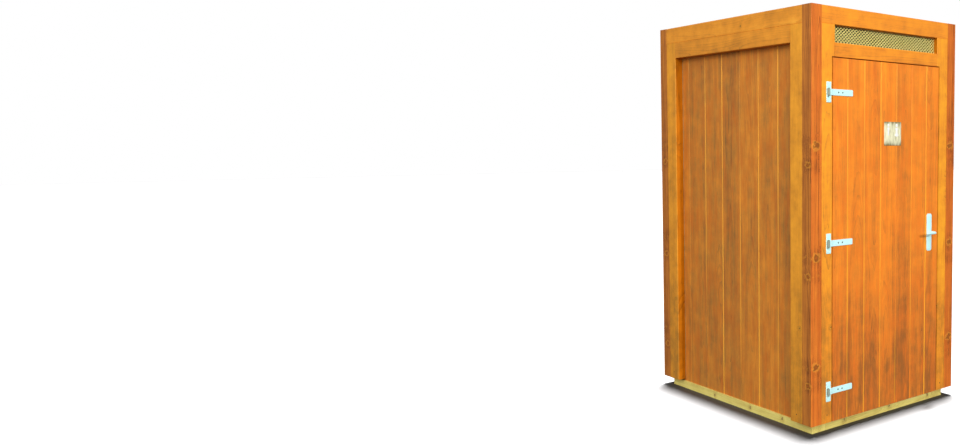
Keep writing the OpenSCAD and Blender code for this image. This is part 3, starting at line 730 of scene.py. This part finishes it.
# The strap's middle line in plan, from the pin: round the pin, out, down by a step, and to its end.
turn = np.linspace(math.radians(20), math.radians(-270), 25)
eye_y = EYE_R - HINGE_T / 2
eye = np.stack([np.cos(turn), np.sin(turn)], -1) * eye_y
flat_y = face_y - PIN_Y - HINGE_T / 2
tail = band_high.x - PIN_X
outward = [[4 * MM, eye_y], [STEP_FROM, eye_y], [STEP_FROM + 2 * MM, eye_y + 0.3 * MM],
           [STEP_TO - 2.5 * MM, flat_y - 0.3 * MM], [STEP_TO, flat_y], [90 * MM, flat_y]]
outward += [[tail - d * MM, flat_y] for d in (8, 5, 3, 1.5, 0.5, 0)]
strap_line = np.concatenate([eye, outward]) + [PIN_X, PIN_Y]

inner = BAND_H / 2 + KNUCKLE_GAP
outer = inner + KNUCKLE_H
bevel = KNUCKLE_R - 0.8 * MM
knuckle = [(inner, 0), (inner, bevel), (inner + 0.6 * MM, KNUCKLE_R), (outer - 0.6 * MM, KNUCKLE_R),
           (outer, bevel), (outer, PIN_HEAD_R), (outer + 1.2 * MM, PIN_HEAD_R - 0.6 * MM),
           (outer + 1.6 * MM, 0)]
pin_end = BAND_H / 2 + 1 * MM
pin = [(-pin_end, 0), (-pin_end, PIN_R), (pin_end, PIN_R), (pin_end, 0)]

bands, plates, band_screws, plate_screws = [], [], [], []
for z in hinge_zs:
    bands.append(strap(strap_line, HINGE_T, BAND_H, z - BAND_H / 2, 5 * MM))
    plates.append(plate(PLATE_W, PLATE_H, HINGE_T, 3 * MM, 0.8 * MM, (plate_x, z), face_y))
    for way in (-1, 1):
        plates.append(turned([(way * h, r) for h, r in knuckle], (PIN_X, PIN_Y, z), "Z"))
        web = [[PIN_X, PIN_Y], [PIN_X, PIN_Y + 4 * MM], [PIN_X, face_y - HINGE_T]]
        foot_z = z + way * (inner + KNUCKLE_H / 2) - KNUCKLE_H / 2
        plates.append(strap(web, WEB_W, KNUCKLE_H, foot_z, 0.1 * MM))
        for dx in (-8 * MM, 8 * MM):
            seat = (plate_x + way * dx, face_y - HINGE_T, z + way * PLATE_SCREW_Z + dx)
            plate_screws.append(screw(seat, 4 * MM, 1.2 * MM))
    plates.append(turned(pin, (PIN_X, PIN_Y, z), "Z"))
    for along in (78 * MM, 108 * MM):
        band_screws.append(screw((PIN_X + along, face_y - HINGE_T, z), 4.6 * MM, 1.6 * MM))
piece("rolled_hinge_straps", "door", galvanised, bands, ["hinge_bands"])
piece("knuckled_hinge_plates", "cabin", galvanised, plates, ["hinge_plates"])
piece("strap_screws", "door", screw_steel, band_screws)
piece("plate_screws", "cabin", galvanised, plate_screws)

# --- lock and lever handle ---
# A mortise lock is let into the block on the door's inside. Two long satin aluminium plates are
# screwed through the door, and a bent round lever turns in each, joined by the square spindle.


def rod(line, radii, sides=20):
    """A round bar along a line of points: a circle of the given radius square to the line at each point.

    The circle's first axis is Z, which the line never follows, and its second is their cross product.
    """
    line = np.array(line)
    step = np.gradient(line, axis=0)
    step /= np.linalg.norm(step, axis=1)[:, None]
    first = np.array([0.0, 0.0, 1.0]) - step * step[:, 2:]
    first /= np.linalg.norm(first, axis=1)[:, None]
    second = np.cross(step, first)
    turn = np.linspace(0, 2 * np.pi, sides, endpoint=False)[None, :, None]
    out = np.cos(turn) * first[:, None] + np.sin(turn) * second[:, None]
    return line[:, None] + np.array(radii)[:, None, None] * out


satin = metal("satin_aluminium", "#d8ffff", 0.5, "#ccffff", grain_axis="Z", grain_mm=0.5, bright=0.05)
zinc = metal("zinc_plated_steel", "#b9bdb8", 0.4, "#989d97", grain_mm=1.5)
for name in ("strike_plate", "lock_plate", "lever_spindle"):
    finish_in(name, zinc)

lever = next(j for j in frame["joints"] if j["name"] == "lever_turn")
LEVER_X, _, LEVER_Z = lever["pos_m"]
plate_low, plate_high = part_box("handle_plates")
outer_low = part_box("outer_lever")[0]
inner_low, inner_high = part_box("inner_lever")
HANDLE_W, HANDLE_H, HANDLE_T = 44 * MM, 220 * MM, 3 * MM
HANDLE_CORNER = 14 * MM
SCREW_Z = 94 * MM
GRIP_R = 8 * MM
BEND_R = 14 * MM
WAIST_AT, WAIST_LENGTH = 30 * MM, 16 * MM
COLLAR = [(0, 12 * MM), (1.5 * MM, 12 * MM), (3.5 * MM, 11 * MM), (4 * MM, 10 * MM),
          (4 * MM, 8.2 * MM), (0, 8.2 * MM)]
handle_plates, handle_screws = [], []
for out, face, lever_name in ((-1, plate_low.y + HANDLE_T, "outer_lever"),
                              (1, plate_high.y - HANDLE_T, "inner_lever")):
    grid = plate(HANDLE_W, HANDLE_H, HANDLE_T, HANDLE_CORNER, 1.4 * MM, (LEVER_X, LEVER_Z), 0)
    grid[..., 1] = face - out * grid[..., 1]
    handle_plates.append(grid)
    front_y = face + out * HANDLE_T
    handle_plates.append(turned([(out * h, r) for h, r in COLLAR], (LEVER_X, front_y, LEVER_Z), "Y", 32))
    for z in (LEVER_Z - SCREW_Z, LEVER_Z + SCREW_Z):
        handle_screws.append(screw((LEVER_X, front_y, z), 4 * MM, 1.2 * MM, out))
    reach = abs((outer_low.y if out < 0 else inner_high.y) - face) - GRIP_R
    tip = LEVER_X - (outer_low.x if out < 0 else inner_low.x)
    neck = np.linspace(0.5 * MM, reach - BEND_R, 5)
    bend = np.linspace(0, np.pi / 2, 9)[1:]
    grip = np.linspace(BEND_R, tip - GRIP_R, 7)[1:]
    end = np.linspace(0, np.pi / 2, 7)[1:]
    beyond = np.full(len(grip) + len(end), reach)
    away = np.concatenate([neck, reach - BEND_R + BEND_R * np.sin(bend), beyond])
    side = np.concatenate([0 * neck, BEND_R * (1 - np.cos(bend)), grip, tip - GRIP_R + GRIP_R * np.sin(end)])
    radii = np.concatenate([np.full(len(neck) + len(bend) + len(grip), GRIP_R), GRIP_R * np.cos(end)])
    waist = 1 - 0.1 * np.exp(-((side - WAIST_AT) / WAIST_LENGTH) ** 2)
    line = np.stack([LEVER_X - side, face + out * away, np.full_like(side, LEVER_Z)], -1)
    piece("bent_" + lever_name, "lever", satin, [rod(line, radii * waist)], [lever_name],
          crease=60)
piece("long_handle_plates", "door", satin, handle_plates, ["handle_plates"])
piece("handle_screws", "door", satin, handle_screws)

# --- sign ---
# A small brushed metal plate glued to the door at eye level, with two plain figures in raised white
# enamel: a head over a straight body, and a head over a flared one.

low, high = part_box("sign_plate")
brushed, tree = material("brushed_sign_metal")
place = add(tree, "TexCoord")["Object"]
# The colour carries the brushing's streaks from pale to dark, a painted reflection, and grows darker towards
# the top and bottom edges.
stretched = add(tree, "VectorMath", {0: place, 1: (150.0, 150.0, 16.0)}, operation="MULTIPLY")[0]
streak = add(tree, "TexNoise", {"Vector": stretched, "Scale": 1.0, "Detail": 3.0})[0]
height = add(tree, "SeparateXYZ", {0: place})[2]
above = add(tree, "Math", {0: height, 1: (low.z + high.z) / 2}, operation="SUBTRACT")[0]
rim = add(tree, "Math", {0: above, 1: 2 / (high.z - low.z)}, operation="MULTIPLY")[0]
rim = add(tree, "Math", {0: rim}, operation="ABSOLUTE")[0]
rim = add(tree, "Math", {0: rim, 1: 5.0}, operation="POWER")[0]
painted_sheen_streaks_and_dark_rims = add(tree, "Math", {0: rim, 1: 0.3, 2: streak}, operation="MULTIPLY_ADD")[0]
tone = add(tree, "ValToRGB", {0: painted_sheen_streaks_and_dark_rims}, stops=[(0.44, paint("#fffbd2")), (0.8, paint("#867c50"))])[0]
gloss = add(tree, "Math", {0: streak, 1: 0.3, 2: 0.3}, operation="MULTIPLY_ADD")[0]
dent = add(tree, "Bump", {"Height": streak, "Distance": 0.05 * MM, "Strength": 0.5})[0]
surface(tree, {"Base Color": tone, "Metallic": 0.1, "Roughness": gloss, "Normal": dent})
piece("sign_plate_brushed", "door", brushed,
      [plate(high.x - low.x, high.z - low.z, high.y - low.y, 4 * MM, 0.5 * MM,
             ((low.x + high.x) / 2, (low.z + high.z) / 2), high.y)], ["sign_plate"])


def figure(centre_x, top_z, height, widths, front):
    """A raised figure: a round head over a body whose half width at each share of its height is given.

    Row by row each outline comes forward, and is then drawn in: the head's to its centre, and the
    body's to its upright middle line.
    """
    head_r = 0.13 * height
    head_z = top_z - head_r
    shoulder_z = top_z - 2.4 * head_r
    turn = np.linspace(0, 2 * np.pi, 24, endpoint=False)
    share = np.linspace(0, 1, 25)
    half = np.interp(share, *np.array(widths).T) * height
    side_z = shoulder_z - share * (height - 2.4 * head_r)
    body_z = np.concatenate([side_z, side_z[::-1]])
    head = (head_r * np.cos(turn), head_z + head_r * np.sin(turn), head_z)
    body = (np.concatenate([half, -half[::-1]]), body_z, body_z)
    grids = []
    for px, pz, drawn_to in (head, body):
        rows = []
        for out, k in ((0.2 * MM, 1), (-0.4 * MM, 1), (-0.6 * MM, 0.9), (-0.6 * MM, 0)):
            z = drawn_to + k * (pz - drawn_to)
            rows.append(np.stack([centre_x + k * px, np.full_like(px, front + out), z], -1))
        grids.append(np.array(rows))
    return grids


enamel, tree = material("white_enamel")
speck = add(tree, "TexNoise", {"Vector": add(tree, "TexCoord")["Object"], "Scale": 900.0, "Detail": 2.0})[0]
tone = add(tree, "ValToRGB", {0: speck}, stops=[(0.3, paint("#f4f4ea")), (0.7, paint("#ffffff"))])[0]
dent = add(tree, "Bump", {"Height": speck, "Distance": 0.03 * MM, "Strength": 0.4})[0]
surface(tree, {"Base Color": tone, "Roughness": 0.3, "Normal": dent})
STRAIGHT = [(0, 0.07), (0.05, 0.13), (0.25, 0.14), (0.29, 0.1), (0.55, 0.095), (0.97, 0.085), (1, 0.07)]
FLARED = [(0, 0.09), (0.05, 0.16), (0.2, 0.16), (0.34, 0.1), (0.55, 0.1), (0.82, 0.21), (0.92, 0.2),
          (0.95, 0.1), (1, 0.08)]
sign_w = high.x - low.x
top_z = high.z - 10 * MM
figures = figure(low.x + 0.24 * sign_w, top_z, 66 * MM, STRAIGHT, low.y)
figures += figure(low.x + 0.73 * sign_w, top_z, 72 * MM, FLARED, low.y)
piece("sign_figures", "door", enamel, figures, crease=30)

# --- screws in the timber ---
# Each stile of the front and side walls is screwed to the base at its foot, and the ledges to the
# door boards from inside. The heads are sunk almost flush, and those outside have browned.

STILE_SCREW_R, LEDGE_SCREW_R = 3.4 * MM, 4 * MM
browned = metal("browned_screw_steel", "#5c4632", 0.6, "#3a2a1e", bright=0.5)
face_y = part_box("hinge_stile")[0].y
stile_screws = [screw((x, face_y, z), STILE_SCREW_R, 0.6 * MM) for x, z in ((-0.471, 0.100), (0.472, 0.097))]
for side, sign in (("left", -1), ("right", 1)):
    low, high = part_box(side + "_stiles")
    outer = low.x if sign < 0 else high.x
    for y in (-0.587, 0.590):
        head = screw((y, outer, 0.100), STILE_SCREW_R, 0.1 * MM, sign)
        stile_screws.append(head[..., [1, 0, 2]])
piece("stile_screws", "cabin", browned, stile_screws)

ledge_screws = []
low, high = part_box("door_ledges")
LEDGE_MARGIN = 8 * MM
LOCK_MARGIN = 118 * MM  # the middle ledge stops short of the lock block
PAIR_Z = 24 * MM
for z, margin in zip(hinge_zs, (LEDGE_MARGIN, LOCK_MARGIN, LEDGE_MARGIN)):
    for x in 0.94 * DOOR_BOARD_W * np.arange(-3, 4):
        if low.x + LEDGE_MARGIN < x < high.x - margin:
            for dz in (-PAIR_Z, PAIR_Z):
                seat = (x + dz / 2, high.y, z + dz)
                ledge_screws.append(screw(seat, LEDGE_SCREW_R, 0.8 * MM, out=1))
piece("ledge_screws", "door", screw_steel, ledge_screws)
